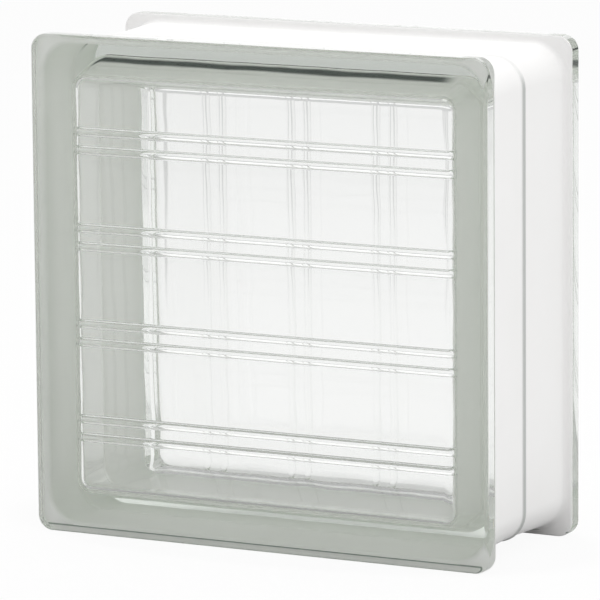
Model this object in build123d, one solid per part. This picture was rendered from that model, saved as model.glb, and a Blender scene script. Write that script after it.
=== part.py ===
from build123d import *
import os
from math import atan, degrees, sqrt

# Outside of the block in millimetres: a square face, and the depth through a wall of blocks
face_size = 190.0
depth = 80.0

# Flange round each face, whose bare glass rim is rounded at the face
flange_thickness = 7.0
flange_corner = 6.0
rim_round = 1.5
flange_back_bevel = 0.8
flange_back_flat = 0.5

# Side wall set back between the flanges to key the mortar, drafted from each flange to the seam
recess_at_flange = 3.5
recess_at_seam = 4.8
waist_corner = 11.0

# Bead of glass squeezed out along the seam, where the two pressed halves are fused
bead_width = 3.0
bead_outside = 0.8
bead_inside = 1.0
bead_bevel = 0.5

# Hollow of one half, drafted from the seam to its face plate
wall_at_seam = 4.8
hollow_draft = 10.0
hollow_corner = 11.0
hollow_end_round = 3.8
plate_thickness = 6.5

# Pattern pressed into the inside of each face plate: pairs of ribs between broad hollowed bands
rib_pitch = 36.6
rib_pair_count = 4
rib_width = 3.4
rib_gap = 3.6
rib_height = 1.1
band_hollow = 0.4
band_rise = 0.5

# White paint on the side wall, from the back of one flange to the back of the other
coating_thickness = 0.4

half_depth = depth / 2
flange_back = half_depth - flange_thickness
step_bevel = recess_at_flange - flange_back_bevel - flange_back_flat

# A bevel at 45 degrees under a skin is longer than the bare one by this share of the skin, or shorter inside a step
bevel_growth = 2 - sqrt(2)


def square(size, corner, distance):
    """A rounded square across the block, at this distance in front of the seam."""
    return Plane.XZ.offset(distance) * RectangleRounded(size, size, corner)


def drafted(outline, length, angle):
    """A prism from an outline at the seam, narrowing by this angle towards its face plate."""
    prism = extrude(outline, length)
    return draft(prism.faces().filter_by(Axis.Y, reverse=True), Plane.XZ, angle)


def half_outside(skin):
    """The front half as a solid lump: face flange and drafted waist, with its recess grown by a skin."""
    seam_size = face_size - 2 * (recess_at_seam - skin)
    waist_draft = degrees(atan((recess_at_seam - recess_at_flange) / flange_back))
    flange = extrude(square(face_size, flange_corner, flange_back - skin), flange_thickness + skin)
    waist = drafted(square(seam_size, waist_corner + skin, 0), flange_back - skin, -waist_draft)
    lump = flange + waist
    back_face = lump.faces().filter_by(Axis.Y).sort_by(Axis.Y)[1]
    lump = chamfer(back_face.inner_wires()[0].edges(), step_bevel - skin * bevel_growth)
    back_face = lump.faces().filter_by(Axis.Y).sort_by(Axis.Y)[1]
    lump = chamfer(back_face.outer_wire().edges(), flange_back_bevel)
    front_face = lump.faces().sort_by(Axis.Y)[0]
    return fillet(front_face.edges(), rim_round)


def seam_bead(skin):
    """The ridge that stands out round the block at the seam, as a lump with its outer edges bevelled."""
    bead_size = face_size - 2 * (recess_at_seam - bead_outside - skin)
    bead_corner = waist_corner + bead_outside + skin
    half_width = bead_width / 2 + skin
    bead = extrude(square(bead_size, bead_corner, 0), half_width, both=True)
    end_faces = bead.faces().filter_by(Axis.Y)
    return chamfer(end_faces.edges(), bead_bevel + skin * bevel_growth)


def plate_pattern():
    """The patterned inside of the front plate, as a slab from its face to the ribs and bands."""
    rib_centre = (rib_gap + rib_width) / 2
    pair_half = rib_gap / 2 + rib_width
    foot = plate_thickness + band_rise - half_depth
    crest = foot + rib_height
    band_floor = foot - band_hollow
    outermost = rib_pair_count * rib_pitch / 2
    pair_places = [(index + 0.5) * rib_pitch - outermost for index in range(rib_pair_count)]
    band_places = [index * rib_pitch - outermost for index in range(rib_pair_count + 1)]
    band_half = rib_pitch / 2 - pair_half
    edge = outermost + face_size / 2
    with BuildSketch(Plane.YZ) as section:
        with BuildLine():
            for place in pair_places:
                for centre in (place - rib_centre, place + rib_centre):
                    ThreePointArc(
                        (foot, centre - rib_width / 2),
                        (crest, centre),
                        (foot, centre + rib_width / 2),
                    )
                Line((foot, place - rib_gap / 2), (foot, place + rib_gap / 2))
            for place in band_places:
                ThreePointArc((foot, place - band_half), (band_floor, place), (foot, place + band_half))
            Polyline(
                (foot, band_places[-1] + band_half),
                (foot, edge),
                (-half_depth, edge),
                (-half_depth, -edge),
                (foot, -edge),
                (foot, band_places[0] - band_half),
            )
        make_face()
    return extrude(section.sketch, face_size / 2, both=True)


def half_hollow():
    """The space inside the front half: a drafted pocket, rounded at its end and shaped by the pattern."""
    pocket_depth = half_depth - plate_thickness
    seam_size = face_size - 2 * (recess_at_seam + wall_at_seam)
    pocket = drafted(square(seam_size, hollow_corner, 0), pocket_depth, hollow_draft)
    end_face = pocket.faces().sort_by(Axis.Y)[0]
    pocket = fillet(end_face.edges(), hollow_end_round)
    return pocket - plate_pattern()


def turned_half(half):
    """The same pressing as the rear half: faced about and given a quarter turn, so its ribs stand upright."""
    return Rot(0, 90, 0) * Rot(0, 0, 180) * half


def glass_outside(skin):
    """The whole block as a solid lump, both halves and the bead along their seam."""
    front = half_outside(skin)
    return front + turned_half(front) + seam_bead(skin)


def glass_body():
    """The hollow glass block, two halves fused into one piece."""
    pocket = half_hollow()
    hollow_size = face_size - 2 * (recess_at_seam + wall_at_seam + bead_inside)
    neck = extrude(square(hollow_size, hollow_corner - bead_inside, 0), bead_width / 2, both=True)
    pocket_start = Plane.XZ.offset(bead_width / 2)
    front_space = split(pocket, bisect_by=pocket_start, keep=Keep.TOP)
    return glass_outside(0) - front_space - turned_half(front_space) - neck


def edge_coating():
    """The layer of white paint over the side wall, the bead and the backs of both flanges."""
    edge_size = face_size - 2 * flange_back_bevel
    edge_corner = flange_corner - flange_back_bevel
    recess = extrude(square(edge_size, edge_corner, 0), flange_back, both=True)
    return (glass_outside(coating_thickness) & recess) - glass_outside(0)


os.makedirs("parts", exist_ok=True)
standing = Pos(0, 0, face_size / 2)
export_step(standing * glass_body(), "parts/glass_body.step")
export_step(standing * edge_coating(), "parts/edge_coating.step")
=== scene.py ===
import math

import bpy
import numpy as np
from mathutils import Matrix, Vector


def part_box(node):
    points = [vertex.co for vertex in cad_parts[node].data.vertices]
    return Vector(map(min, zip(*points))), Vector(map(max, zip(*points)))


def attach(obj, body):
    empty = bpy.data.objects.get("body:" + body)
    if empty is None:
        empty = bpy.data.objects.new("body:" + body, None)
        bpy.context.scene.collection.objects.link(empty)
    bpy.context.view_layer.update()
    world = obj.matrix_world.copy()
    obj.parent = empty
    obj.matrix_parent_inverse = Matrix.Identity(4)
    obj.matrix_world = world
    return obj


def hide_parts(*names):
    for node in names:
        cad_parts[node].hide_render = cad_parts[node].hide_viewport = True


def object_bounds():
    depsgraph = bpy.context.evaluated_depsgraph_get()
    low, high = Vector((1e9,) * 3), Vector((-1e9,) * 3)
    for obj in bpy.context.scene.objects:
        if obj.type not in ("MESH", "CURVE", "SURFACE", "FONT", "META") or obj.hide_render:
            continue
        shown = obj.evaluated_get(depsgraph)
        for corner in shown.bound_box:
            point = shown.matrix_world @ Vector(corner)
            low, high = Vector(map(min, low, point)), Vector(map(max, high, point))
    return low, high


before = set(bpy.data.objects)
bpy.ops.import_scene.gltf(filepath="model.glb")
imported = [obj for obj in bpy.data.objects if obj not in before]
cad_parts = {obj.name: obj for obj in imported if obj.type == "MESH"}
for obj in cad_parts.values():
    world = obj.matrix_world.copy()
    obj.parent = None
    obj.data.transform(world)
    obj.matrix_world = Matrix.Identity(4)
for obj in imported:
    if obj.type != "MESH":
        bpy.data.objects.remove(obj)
cad_low, cad_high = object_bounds()

# Glass block
# Two like halves pressed from clear, faintly green glass and fused hot into one sealed hollow block.
# Each has a flanged face, a side wall set back to key the mortar, and pairs of ribs inside its plate.
# The rear half is the same pressing turned a quarter, so its ribs stand upright behind the level ones.
mm = 0.001
face_half = cad_high.x
half_depth = cad_high.y
middle_height = (cad_low.z + cad_high.z) / 2
flange_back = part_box("edge_coating")[1].y

flange_corner = 6.0 * mm
flange_centre = face_half - flange_corner
rim_round = 1.5 * mm
flange_back_round = 0.8 * mm
flange_back_flat = 0.3 * mm
recess_at_flange = 3.5 * mm
recess_at_seam = 4.8 * mm
step_round = 2.2 * mm
waist_corner = 11.0 * mm
bead_half_width = 1.9 * mm
bead_outside = 0.8 * mm
bead_inside = 1.0 * mm

wall_at_seam = 4.8 * mm
hollow_draft = math.radians(10.0)
hollow_corner = 11.0 * mm
hollow_end_round = 3.8 * mm
plate_thickness = 6.5 * mm

rib_pitch = 36.6 * mm
rib_pair_count = 4
rib_width = 3.4 * mm
rib_gap = 3.6 * mm
rib_height = 1.1 * mm
band_hollow = 0.4 * mm
band_rise = 0.5 * mm
rib_foot_softness = 0.2 * mm
plate_edge_softness = 2.3 * mm

# Steps in which the rounds, the bead, the ribs and the bands are drawn, and the finest lengths in them
corner_steps = 10
bead_steps = 8
step_round_steps = 8
flange_back_steps = 6
rim_steps = 10
end_round_steps = 10
rib_steps = 8
band_steps = 8
plate_edge_tries = 30
plate_edge_first_try = math.radians(60)
slope_nudge = 0.02 * mm
weld_distance = 0.001 * mm

clear_white = (1.0, 1.0, 1.0, 1.0)
glass_bending = 1.52
glass_tint = (0.80, 0.85, 0.79, 1.0)
glass_tint_per_metre = 12.0
ripple_scale = 45.0
ripple_detail = 1.0
ripple_strength = 0.4
ripple_height = 0.4 * mm


def rounded_square(side_spots, corner_centre):
    """Corner centres or side spots round a square, and the way outwards from each of them."""
    feet = [(corner_centre, spot) for spot in side_spots]
    ways = [(1.0, 0.0) for spot in side_spots]
    for step in range(1, corner_steps):
        angle = step / corner_steps * math.pi / 2
        feet.append((corner_centre, corner_centre))
        ways.append((math.cos(angle), math.sin(angle)))
    quarter_turn = np.array([[0.0, 1.0], [-1.0, 0.0]])
    turns = [np.linalg.matrix_power(quarter_turn, count) for count in range(4)]
    all_feet = np.vstack([np.array(feet) @ turn for turn in turns])
    all_ways = np.vstack([np.array(ways) @ turn for turn in turns])
    return all_feet, all_ways


def square_ring(half_size, corner_centre, depth, lean):
    """One ring of the block's outside, at a depth in front of the seam, with its normals leaning forward."""
    feet, ways = rounded_square((-corner_centre, corner_centre), corner_centre)
    level = feet + (half_size - corner_centre) * ways
    points = np.column_stack([level[:, 0], np.full(len(level), -depth), level[:, 1]])
    outward = math.cos(lean) * ways
    normals = np.column_stack([outward[:, 0], np.full(len(level), -math.sin(lean)), outward[:, 1]])
    return points, normals


def bead_section(height):
    """Steps across half of a seam bead: share of the way, depth, how far it stands up, and how it falls."""
    for step in range(bead_steps + 1):
        share = step / bead_steps
        depth = share * bead_half_width
        wave = math.pi * depth / bead_half_width
        stand = height * (1 + math.cos(wave)) / 2
        fall = height * math.sin(wave) / 2 * math.pi / bead_half_width
        yield share, depth, stand, fall


def recess_rings(skin):
    """The side wall from the seam to the back of the front flange, grown by a skin along its normals."""
    waist_centre = face_half - recess_at_seam - waist_corner
    draft = math.atan((recess_at_seam - recess_at_flange) / flange_back)
    rings = []

    def add(recess, depth, lean, centre=waist_centre):
        half_size = face_half - recess + skin * math.cos(lean)
        rings.append(square_ring(half_size, centre, depth + skin * math.sin(lean), lean))

    for share, depth, stand, fall in bead_section(bead_outside):
        recess = recess_at_seam - depth * math.tan(draft) - stand
        add(recess, depth, -math.atan(math.tan(draft) * share - fall))
    for step in range(step_round_steps + 1):
        angle = step / step_round_steps * (math.pi / 2 - draft) + draft
        recess = recess_at_flange - step_round * (1 - math.cos(angle))
        add(recess, flange_back - step_round + step_round * math.sin(angle), -angle)
    add(flange_back_round + flange_back_flat, flange_back, -math.pi / 2)
    add(flange_back_round, flange_back, -math.pi / 2, flange_centre)
    return rings


def flange_back_ring(angle, skin):
    """One ring on the rounded back edge of the front flange, grown by a skin along its normals."""
    half_size = face_half - flange_back_round * (1 - math.sin(angle)) + skin * math.sin(angle)
    depth = flange_back + flange_back_round * (1 - math.cos(angle)) - skin * math.cos(angle)
    return square_ring(half_size, flange_centre, depth, angle - math.pi / 2)


def flange_rings():
    """The bare rim of the front flange, from its back edge round to its face."""
    rings = []
    for step in range(1, flange_back_steps + 1):
        rings.append(flange_back_ring(step / flange_back_steps * math.pi / 2, 0))
    for step in range(rim_steps + 1):
        angle = step / rim_steps * math.pi / 2
        half_size = face_half - rim_round * (1 - math.cos(angle))
        depth = half_depth - rim_round * (1 - math.sin(angle))
        rings.append(square_ring(half_size, flange_centre, depth, angle))
    return rings


def plate_depth(height):
    """Depth of glass from the face to the inside of the plate, at a height across its level ribs."""
    foot = plate_thickness + band_rise
    from_pair = np.abs((height / rib_pitch) % 1 - 0.5) * rib_pitch
    from_rib = from_pair - (rib_gap + rib_width) / 2
    rib_radius = (rib_width**2 / 4 + rib_height**2) / (2 * rib_height)
    rib = foot + np.sqrt(np.maximum(rib_radius**2 - from_rib**2, 0)) - (rib_radius - rib_height)
    band_half = rib_pitch / 2 - rib_gap / 2 - rib_width
    across_band = (rib_pitch / 2 - from_pair) / band_half
    band = foot - band_hollow * (1 - across_band**2)
    on_rib = np.abs(from_rib) < rib_width / 2
    on_band = from_pair > rib_gap / 2 + rib_width
    return np.where(on_rib, rib, np.where(on_band, band, foot))


def plate_heights(limit):
    """Heights of the rows of points across the plate: close together on the ribs and wider on the bands."""
    rib_crest_rows = np.linspace(-1, 1, rib_steps + 1) * (rib_width / 2 - rib_foot_softness)
    rib_foot = rib_width / 2 + rib_foot_softness
    rib_rows = np.concatenate([[-rib_foot], rib_crest_rows, [rib_foot]])
    rib_centre = (rib_gap + rib_width) / 2
    pair_rows = np.concatenate([rib_rows - rib_centre, [0.0], rib_rows + rib_centre])
    heights = []
    start = -limit
    for index in range(rib_pair_count):
        rows = (index + 0.5 - rib_pair_count / 2) * rib_pitch + pair_rows
        heights.extend(np.linspace(start, rows[0], band_steps + 1)[:-1])
        heights.extend(rows[:-1])
        start = rows[-1]
    heights.extend(np.linspace(start, limit, band_steps + 1))
    return np.array(heights)


def hollow_rings():
    """The inside of the front half from the seam to its ribbed plate, and how many rows close the plate."""
    draft = math.tan(hollow_draft)
    seam_half = face_half - recess_at_seam - wall_at_seam
    corner_centre = seam_half - hollow_corner
    end_depth = half_depth - plate_thickness - hollow_end_round
    end_half = seam_half - end_depth * draft - hollow_end_round / math.cos(hollow_draft)
    heights = plate_heights(corner_centre)
    feet, ways = rounded_square(heights, corner_centre)
    rings = []

    def add(half_size, depth, inward, forward):
        level = feet + (half_size - corner_centre)[:, None] * ways
        points = np.column_stack([level[:, 0], -depth, level[:, 1]])
        normals = np.column_stack([-inward * ways[:, 0], -forward, -inward * ways[:, 1]])
        rings.append((points, normals / np.linalg.norm(normals, axis=1)[:, None]))

    flat = np.ones(len(feet))
    for share, depth, stand, fall in bead_section(bead_inside):
        half_size = seam_half - depth * draft - stand
        add(half_size * flat, depth * flat, flat, (fall - draft * share) * flat)

    # The round at the end of the pocket stops where it meets the ribs and bands, found by a few repeats
    angle = np.full(len(feet), plate_edge_first_try)
    for attempt in range(plate_edge_tries):
        half_size = end_half + hollow_end_round * np.cos(angle)
        height = feet[:, 1] + (half_size - corner_centre) * ways[:, 1]
        angle = np.arcsin((half_depth - plate_depth(height) - end_depth) / hollow_end_round)
    last_angle = angle - plate_edge_softness / hollow_end_round
    for step in range(end_round_steps + 1):
        turn = hollow_draft + (last_angle - hollow_draft) * step / end_round_steps
        half_size = end_half + hollow_end_round * np.cos(turn)
        add(half_size, end_depth + hollow_end_round * np.sin(turn), np.cos(turn), -np.sin(turn))

    # The last ring lies on the plate, a little inside its edge
    half_size = end_half + hollow_end_round * np.cos(angle) - plate_edge_softness
    level = feet + (half_size - corner_centre)[:, None] * ways
    height = level[:, 1]
    rise = plate_depth(height + slope_nudge) - plate_depth(height - slope_nudge)
    slope = rise / (2 * slope_nudge)
    points = np.column_stack([level[:, 0], plate_depth(height) - half_depth, height])
    normals = np.column_stack([np.zeros_like(slope), np.ones_like(slope), -slope])
    rings.append((points, normals / np.linalg.norm(normals, axis=1)[:, None]))
    return rings, len(heights)


def ring_faces(rings):
    """Points, normals and four-sided faces of a stack of rings."""
    size = len(rings[0][0])
    points = np.vstack([ring[0] for ring in rings])
    normals = np.vstack([ring[1] for ring in rings])
    around = np.arange(size)
    after = np.roll(around, -1)
    faces = []
    for level in range(len(rings) - 1):
        low, high = level * size, (level + 1) * size
        faces.extend(np.column_stack([low + around, low + after, high + after, high + around]).tolist())
    return points, normals, faces


def closed_mesh(name, shells):
    """A mesh of shells, welded where they meet, with faces wound to suit the normals that they are given."""
    points, normals, faces = [], [], []
    for shell_points, shell_normals, shell_faces in shells:
        start = sum(len(part) for part in points)
        points.append(shell_points)
        normals.append(shell_normals)
        faces.extend([[corner + start for corner in face] for face in shell_faces])
    points, normals = np.vstack(points), np.vstack(normals)
    weld_grid = np.round(points / weld_distance).astype(np.int64)
    kept, joined = np.unique(weld_grid, axis=0, return_index=True, return_inverse=True)[1:]
    points, normals = points[kept], normals[kept]
    wound = []
    for face in faces:
        corners = joined.reshape(-1)[face]
        loop = points[corners]
        facing = np.cross(loop, np.roll(loop, -1, axis=0)).sum(axis=0)
        if facing @ normals[corners].sum(axis=0) <= 0:
            corners = corners[::-1]
        wound.append(corners.tolist())
    mesh = bpy.data.meshes.new(name)
    mesh.from_pydata((points + np.array([0, 0, middle_height])).tolist(), [], wound)
    mesh.polygons.foreach_set("use_smooth", [True] * len(mesh.polygons))
    mesh.normals_split_custom_set_from_vertices(normals.tolist())
    mesh.validate(clean_customdata=False)
    return mesh


def turned_half(shell):
    """The same shell as the rear half: faced about with a quarter turn."""
    points, normals, faces = shell
    to_rear = np.array([[0, 0, 1], [0, -1, 0], [1, 0, 0]])
    return points @ to_rear, normals @ to_rear, faces


outside_points, outside_normals, outside_faces = ring_faces(recess_rings(0) + flange_rings())
rim_size = len(square_ring(face_half, flange_centre, 0, 0)[0])
outside_faces.append(list(range(len(outside_points) - rim_size, len(outside_points))))
front_outside = (outside_points, outside_normals, outside_faces)

# The plate is closed by level strips from the right side of its ring to the left, and a face above and below
hollow, row_count = hollow_rings()
hollow_points, hollow_normals, hollow_faces = ring_faces(hollow)
ring_size = len(hollow[0][0])
plate_start = len(hollow_points) - ring_size
quarter = ring_size // 4
corner_count = quarter - row_count
right_side = np.arange(-corner_count, quarter + 1) % ring_size
left_side = (2 * quarter + row_count - 1 - np.arange(-corner_count, quarter + 1)) % ring_size
for row in range(1, len(right_side) - 2):
    strip = [right_side[row], right_side[row + 1], left_side[row + 1], left_side[row]]
    hollow_faces.append([plate_start + int(corner) for corner in strip])
top_run = np.arange(right_side[-2], left_side[-2] + 1)
bottom_run = np.arange(left_side[1], right_side[1] + 1)
hollow_faces.append([plate_start + int(corner) for corner in top_run])
hollow_faces.append([plate_start + int(corner) for corner in bottom_run])
front_hollow = (hollow_points, hollow_normals, hollow_faces)

glass_mesh = closed_mesh(
    "glass_block",
    [front_outside, turned_half(front_outside), front_hollow, turned_half(front_hollow)],
)
glass_block = bpy.data.objects.new("glass_block", glass_mesh)
bpy.context.scene.collection.objects.link(glass_block)

glass = bpy.data.materials.new("pressed_glass")
glass.use_nodes = True
tree = glass.node_tree
clear_glass = tree.nodes["Principled BSDF"]
clear_glass.inputs["Base Color"].default_value = clear_white
clear_glass.inputs["Roughness"].default_value = 0.0
clear_glass.inputs["IOR"].default_value = glass_bending
clear_glass.inputs["Transmission Weight"].default_value = 1.0
absorbing = tree.nodes.new("ShaderNodeVolumeAbsorption")
absorbing.inputs["Color"].default_value = glass_tint
absorbing.inputs["Density"].default_value = glass_tint_per_metre
tree.links.new(absorbing.outputs["Volume"], tree.nodes["Material Output"].inputs["Volume"])
place = tree.nodes.new("ShaderNodeTexCoord").outputs["Object"]
ripple = tree.nodes.new("ShaderNodeTexNoise")
ripple.inputs["Scale"].default_value = ripple_scale
ripple.inputs["Detail"].default_value = ripple_detail
tree.links.new(place, ripple.inputs["Vector"])
ripple_bump = tree.nodes.new("ShaderNodeBump")
ripple_bump.inputs["Strength"].default_value = ripple_strength
ripple_bump.inputs["Distance"].default_value = ripple_height
tree.links.new(ripple.outputs["Fac"], ripple_bump.inputs["Height"])
tree.links.new(ripple_bump.outputs["Normal"], clear_glass.inputs["Normal"])
glass_mesh.materials.append(glass)
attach(glass_block, "root")
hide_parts("glass_body")

# White paint on the side wall
# A coat of matt white paint round the recess, from the back of one flange to the back of the other.
# It is brushed or sprayed on the bare glass after the halves are fused, and keys the mortar joint.
# A grey line marks the seam under it, and two dark lines of painted shade on its glass side are seen only
# through the glass.
paint_thickness = 0.4 * mm
paint_bite = 0.03 * mm
paint_reach = math.radians(70)
paint_edge_steps = 5
paint_white = (0.95, 0.945, 0.94, 1.0)
paint_grey = (0.92, 0.915, 0.905, 1.0)
paint_roughness = 0.7
paint_shine = 0.3
cloud_scale = 30.0
cloud_detail = 4.0
block_middle = Vector((0, 0, middle_height))

seam_grey = (0.55, 0.56, 0.55, 1.0)
seam_line_half_width = 0.8 * mm
seam_line_fade = 1.8 * mm

# Painted shade: a very dark line on the glass side of the top paint, seen through the glass as a dark line
# in the top of the front frame
painted_top_shade = (0.03, 0.05, 0.04, 1.0)
top_line_place = 5.3 * mm
top_line_half_width = 1.4 * mm
top_line_fade = 4.0 * mm
top_line_middle = -10.0 * mm
top_line_half_length = 72.0 * mm
top_line_end = 80.0 * mm
top_side_start = cad_high.z - 16.0 * mm
top_side_full = cad_high.z - 8.0 * mm

# Painted shade: a dark line on the glass side of the paint low on the flange backs, standing for the shaded
# gap under the block as seen through the glass
painted_bottom_shade = (0.26, 0.30, 0.27, 1.0)
bottom_line_place = 1.9 * mm
bottom_line_half_width = 0.1 * mm
bottom_line_fade = 0.45 * mm


def paint_edge_rings(skin):
    """The paint's thinning edge, which runs a little way round the back edge of the front flange."""
    rings = []
    for step in range(1, paint_edge_steps + 1):
        share = step / paint_edge_steps
        skin_left = skin * (1 - share) if skin > 0 else skin
        rings.append(flange_back_ring(share * paint_reach, skin_left))
    return rings


def feed(tree, socket, term):
    """Set a node's socket to a plain value, or link another node's output to it."""
    if isinstance(term, bpy.types.NodeSocket):
        tree.links.new(term, socket)
    else:
        socket.default_value = term


def worked_out(tree, operation, *terms):
    """The result of one sum in a material."""
    node = tree.nodes.new("ShaderNodeMath")
    node.operation = operation
    for socket, term in zip(node.inputs, terms):
        feed(tree, socket, term)
    return node.outputs["Value"]


def vector_worked_out(tree, operation, result, *terms):
    """The result of one sum on places or directions, which is a Vector or a Value."""
    node = tree.nodes.new("ShaderNodeVectorMath")
    node.operation = operation
    for socket, term in zip(node.inputs, terms):
        feed(tree, socket, term)
    return node.outputs[result]


def product(tree, first, *others):
    """Several levels multiplied together."""
    for other in others:
        first = worked_out(tree, "MULTIPLY", first, other)
    return first


def level_change(tree, level, start, end, at_start=0.0, at_end=1.0, way="SMOOTHSTEP"):
    """A level that goes from one value to another while the given one runs from start to end."""
    node = tree.nodes.new("ShaderNodeMapRange")
    node.interpolation_type = way
    terms = {"Value": level, "From Min": start, "From Max": end, "To Min": at_start, "To Max": at_end}
    for name, term in terms.items():
        feed(tree, node.inputs[name], term)
    return node.outputs["Result"]


def stripe(tree, level, middle, half_width, fade):
    """A line on a surface: 1 within half its width of its middle, and 0 from where it has faded."""
    off_middle = worked_out(tree, "ABSOLUTE", worked_out(tree, "SUBTRACT", level, middle))
    return level_change(tree, off_middle, half_width, fade, 1.0, 0.0)


def colour_mix(tree, share, first, second):
    """The first colour, giving way to the second as the share goes from 0 to 1."""
    node = tree.nodes.new("ShaderNodeMix")
    node.data_type = "RGBA"
    for name, term in {"Factor": share, "A": first, "B": second}.items():
        feed(tree, node.inputs[name], term)
    return node.outputs["Result"]


outer_rings = recess_rings(paint_thickness) + paint_edge_rings(paint_thickness)
inner_rings = recess_rings(-paint_bite) + paint_edge_rings(-paint_bite)
paint_skin = ring_faces(outer_rings + inner_rings[::-1])
inner_start = len(outer_rings) * len(outer_rings[0][0])
paint_skin[1][inner_start:] *= -1
paint_mesh = closed_mesh("white_edge_paint", [paint_skin, turned_half(paint_skin)])
edge_paint = bpy.data.objects.new("white_edge_paint", paint_mesh)
bpy.context.scene.collection.objects.link(edge_paint)

paint = bpy.data.materials.new("white_edge_paint")
paint.use_nodes = True
tree = paint.node_tree
matt_white = tree.nodes["Principled BSDF"]
matt_white.inputs["Roughness"].default_value = paint_roughness
matt_white.inputs["Specular IOR Level"].default_value = paint_shine
place = tree.nodes.new("ShaderNodeTexCoord").outputs["Object"]
cloud = tree.nodes.new("ShaderNodeTexNoise")
cloud.inputs["Scale"].default_value = cloud_scale
cloud.inputs["Detail"].default_value = cloud_detail
tree.links.new(place, cloud.inputs["Vector"])
spot = tree.nodes.new("ShaderNodeSeparateXYZ")
tree.links.new(place, spot.inputs["Vector"])
across, through, height = spot.outputs["X"], spot.outputs["Y"], spot.outputs["Z"]

# The paint's glass side faces the block's middle on the wall, and away from it on the backs of the flanges
surface = tree.nodes.new("ShaderNodeNewGeometry").outputs["Normal"]
from_middle = vector_worked_out(tree, "SUBTRACT", "Vector", place, block_middle)
outwards = vector_worked_out(tree, "DOT_PRODUCT", "Value", from_middle, surface)
facing_out = worked_out(tree, "GREATER_THAN", outwards, 0.0)
facing_in = worked_out(tree, "LESS_THAN", outwards, 0.0)
on_top = level_change(tree, height, top_side_start, top_side_full)
below_top = level_change(tree, height, top_side_start, top_side_full, 1.0, 0.0)

seam_line = stripe(tree, through, 0.0, seam_line_half_width, seam_line_fade)
top_shade_line = stripe(tree, through, top_line_place, top_line_half_width, top_line_fade)
top_shade_line_run = stripe(tree, across, top_line_middle, top_line_half_length, top_line_end)
bottom_shade_line = stripe(tree, height, bottom_line_place, bottom_line_half_width, bottom_line_fade)
coat = colour_mix(tree, cloud.outputs["Fac"], paint_white, paint_grey)
coat = colour_mix(tree, product(tree, seam_line, below_top, facing_out), coat, seam_grey)
# Painted shade along the top, on the paint's glass side
coat = colour_mix(tree, product(tree, top_shade_line, top_shade_line_run, on_top, facing_in), coat, painted_top_shade)
# Painted shade low on the flange backs, on the paint's glass side
coat = colour_mix(tree, product(tree, bottom_shade_line, facing_out), coat, painted_bottom_shade)
tree.links.new(coat, matt_white.inputs["Base Color"])
paint_mesh.materials.append(paint)
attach(edge_paint, "root")
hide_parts("edge_coating")

# Floor
# A plain white sweep that the block stands on, white to the camera and to the glass, with a faint shadow.
# It is greyer under and close behind the block, where the shadow is painted in two greys, on a patch to each
# side behind it, and at its far end, so that the clear ribs and the inside of the block have something to
# show against.
floor_half = 6.0
floor_roughness = 0.8
floor_white = (0.82, 0.82, 0.82, 1.0)
floor_grey = (0.62, 0.62, 0.62, 1.0)

# Painted shadow round the block's footprint, in two greys
footprint_shape = (0.5, 1.0, 0.0)
contact_shadow_grey = (0.52, 0.52, 0.52, 1.0)
contact_full = 56.0 * mm
contact_gone = 66.0 * mm
outer_shadow_grey = (0.80, 0.80, 0.80, 1.0)
shade_full = 74.0 * mm
shade_gone = 82.0 * mm

sweep_across = Vector((0.886, 0.464, 0.0))
sweep_back = Vector((-0.464, 0.886, 0.0))
patch_start = 0.11
patch_full = 0.20
patch_end = math.tan(math.radians(16))
patch_gone = math.tan(math.radians(21))
just_behind = 1.0 * mm
far_start = 1.27
far_full = 1.37

glow_to_camera = 0.94
glow_in_glass = 0.42
# Lower glow into the glass close to the block, a painted shadow
glow_in_block_shadow = 0.2
glow_rise_start = 0.05
glow_rise_end = 0.16


def shader_mix(tree, share, first, second):
    """The first surface or light, giving way to the second as the share goes from 0 to 1."""
    node = tree.nodes.new("ShaderNodeMixShader")
    for socket, term in zip(node.inputs, (share, first, second)):
        tree.links.new(term, socket)
    return node.outputs["Shader"]


floor_mesh = bpy.data.meshes.new("floor")
floor_sides = ((-1, -1), (1, -1), (1, 1), (-1, 1))
floor_corners = [(side_x * floor_half, side_y * floor_half, 0) for side_x, side_y in floor_sides]
floor_mesh.from_pydata(floor_corners, [], [(0, 1, 2, 3)])
floor = bpy.data.objects.new("floor", floor_mesh)
bpy.context.scene.collection.objects.link(floor)

floor_material = bpy.data.materials.new("white_floor")
floor_material.use_nodes = True
tree = floor_material.node_tree
place = tree.nodes.new("ShaderNodeTexCoord").outputs["Object"]
sideways = vector_worked_out(tree, "DOT_PRODUCT", "Value", place, sweep_across)
backwards = vector_worked_out(tree, "DOT_PRODUCT", "Value", place, sweep_back)
off_sweep = worked_out(tree, "ABSOLUTE", sideways)
behind = worked_out(tree, "MAXIMUM", backwards, just_behind)
turned_aside = worked_out(tree, "DIVIDE", off_sweep, behind)
beside = level_change(tree, off_sweep, patch_start, patch_full)
within = level_change(tree, turned_aside, patch_end, patch_gone, 1.0, 0.0)
far = level_change(tree, backwards, far_start, far_full)
greyed = worked_out(tree, "MAXIMUM", product(tree, beside, within), far)
on_sweep = worked_out(tree, "SUBTRACT", 1.0, greyed)
open_floor = colour_mix(tree, on_sweep, floor_grey, floor_white)

# Painted shadow: the floor greys in two steps close round the block's footprint, darkest at the contact
footprint = vector_worked_out(tree, "MULTIPLY", "Vector", place, footprint_shape)
off_footprint = vector_worked_out(tree, "LENGTH", "Value", footprint)
off_contact = level_change(tree, off_footprint, contact_full, contact_gone)
in_open = level_change(tree, off_footprint, shade_full, shade_gone)
by_block = colour_mix(tree, off_contact, contact_shadow_grey, outer_shadow_grey)
matt_floor = tree.nodes["Principled BSDF"]
matt_floor.inputs["Roughness"].default_value = floor_roughness
tree.links.new(colour_mix(tree, in_open, by_block, open_floor), matt_floor.inputs["Base Color"])

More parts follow.
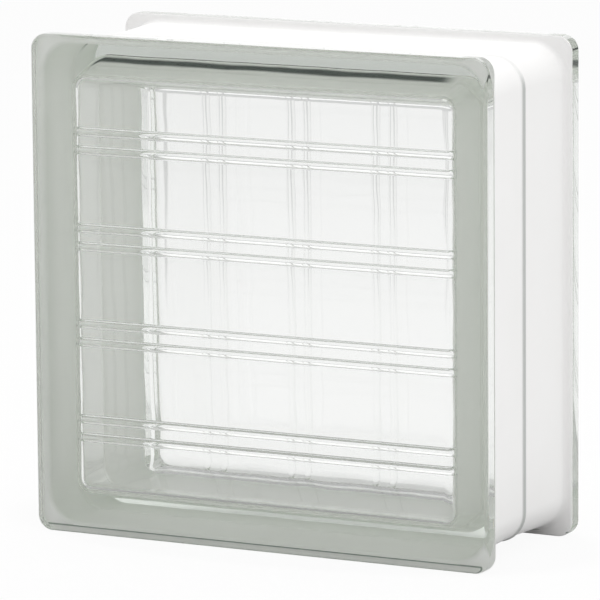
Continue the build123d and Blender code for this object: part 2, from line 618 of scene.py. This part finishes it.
white_glow = tree.nodes.new("ShaderNodeEmission")
white_glow.inputs["Color"].default_value = clear_white
white_glow.inputs["Strength"].default_value = 1.0
ray = tree.nodes.new("ShaderNodeLightPath").outputs
in_glass = worked_out(tree, "MAXIMUM", ray["Is Glossy Ray"], ray["Is Transmission Ray"])
# Painted shadow: close to the block the floor glows less into the glass
from_block = vector_worked_out(tree, "LENGTH", "Value", place)
glow_level = level_change(tree, from_block, glow_rise_start, glow_rise_end, glow_in_block_shadow, glow_in_glass)
glass_glow = product(tree, in_glass, glow_level, on_sweep)
glow = worked_out(tree, "MULTIPLY_ADD", ray["Is Camera Ray"], glow_to_camera, glass_glow)
floor_look = shader_mix(tree, glow, matt_floor.outputs["BSDF"], white_glow.outputs["Emission"])
tree.links.new(floor_look, tree.nodes["Material Output"].inputs["Surface"])
floor_mesh.materials.append(floor_material)

# Light
# An even white room, brighter behind the block and dimmer in front of it, which is plain white to look at.
# Through the glass it is a bright backdrop in a dimmer room, which the ribs and rims pick up as grey lines.
# A broad lamp overhead lifts the top a little.
room_level = 1.12
front_level = 0.45
rear_level = 1.3
front_side = Vector((0.25, -0.95, 0.1)).normalized()
backdrop_side = Vector((-0.46, 0.88, 0.0)).normalized()
backdrop_inner = math.cos(math.radians(12))
backdrop_outer = math.cos(math.radians(32))
backdrop_level = 1.15
room_in_glass_level = 0.58
lamp_width = 1.2
lamp_power = 6.0
lamp_place = Vector((0.3, -0.2, 1.6))

world = bpy.data.worlds.new("white_room")
bpy.context.scene.world = world
world.use_nodes = True
tree = world.node_tree
way = tree.nodes.new("ShaderNodeTexCoord").outputs["Generated"]
toward_front = vector_worked_out(tree, "DOT_PRODUCT", "Value", way, front_side)
toward_backdrop = vector_worked_out(tree, "DOT_PRODUCT", "Value", way, backdrop_side)
room_light = tree.nodes["Background"]
room_light.inputs["Strength"].default_value = room_level
room_shade = level_change(tree, toward_front, -1.0, 1.0, rear_level, front_level, "LINEAR")
tree.links.new(room_shade, room_light.inputs["Color"])
room_in_glass = tree.nodes.new("ShaderNodeBackground")
room_in_glass.inputs["Strength"].default_value = 1.0
backdrop = level_change(
    tree, toward_backdrop, backdrop_outer, backdrop_inner, room_in_glass_level, backdrop_level
)
tree.links.new(backdrop, room_in_glass.inputs["Color"])
room_seen = tree.nodes.new("ShaderNodeBackground")
room_seen.inputs["Color"].default_value = clear_white
room_seen.inputs["Strength"].default_value = 1.0
ray = tree.nodes.new("ShaderNodeLightPath").outputs
in_glass = worked_out(tree, "MAXIMUM", ray["Is Glossy Ray"], ray["Is Transmission Ray"])
room = shader_mix(tree, in_glass, room_light.outputs["Background"], room_in_glass.outputs["Background"])
room = shader_mix(tree, ray["Is Camera Ray"], room, room_seen.outputs["Background"])
tree.links.new(room, tree.nodes["World Output"].inputs["Surface"])

lamp_data = bpy.data.lights.new("overhead_lamp", "AREA")
lamp_data.shape = "DISK"
lamp_data.size = lamp_width
lamp_data.energy = lamp_power
lamp = bpy.data.objects.new("overhead_lamp", lamp_data)
lamp.location = lamp_place
lamp.rotation_euler = (block_middle - lamp_place).to_track_quat("-Z", "Y").to_euler()
bpy.context.scene.collection.objects.link(lamp)

# Camera
# A long lens, a little to the right of the front face and above it, as the photograph was taken.
# The picture is turned and set off by the small amounts that its framing needs.
azimuth = math.radians(27.61)
elevation = math.radians(9.76)
roll = math.radians(-0.47)
distance = 2.119
aside = -2.098 * mm
above = -5.766 * mm
lens_length = 338.0
sensor_width = 36.0
level_right = Vector((math.cos(azimuth), math.sin(azimuth), 0))
level_back = Vector((math.sin(azimuth), -math.cos(azimuth), 0))
back = math.cos(elevation) * level_back + math.sin(elevation) * Vector((0, 0, 1))
level_up = back.cross(level_right)
right = math.cos(roll) * level_right + math.sin(roll) * level_up
up = math.cos(roll) * level_up - math.sin(roll) * level_right
camera_data = bpy.data.cameras.new("camera")
camera_data.sensor_width = sensor_width
camera_data.lens = lens_length
camera = bpy.data.objects.new("camera", camera_data)
stand = block_middle + distance * back + aside * right + above * up
camera.matrix_world = Matrix.Translation(stand) @ Matrix((right, up, back)).transposed().to_4x4()
bpy.context.scene.collection.objects.link(camera)
bpy.context.scene.camera = camera

# Rendering of the glass: enough bounces for light to cross both halves, and no blur on its reflections
scene = bpy.context.scene
scene.view_settings.view_transform = "Standard"
scene.cycles.blur_glossy = 0.0
scene.cycles.max_bounces = 40
scene.cycles.transmission_bounces = 40
scene.cycles.glossy_bounces = 24
scene.cycles.diffuse_bounces = 14
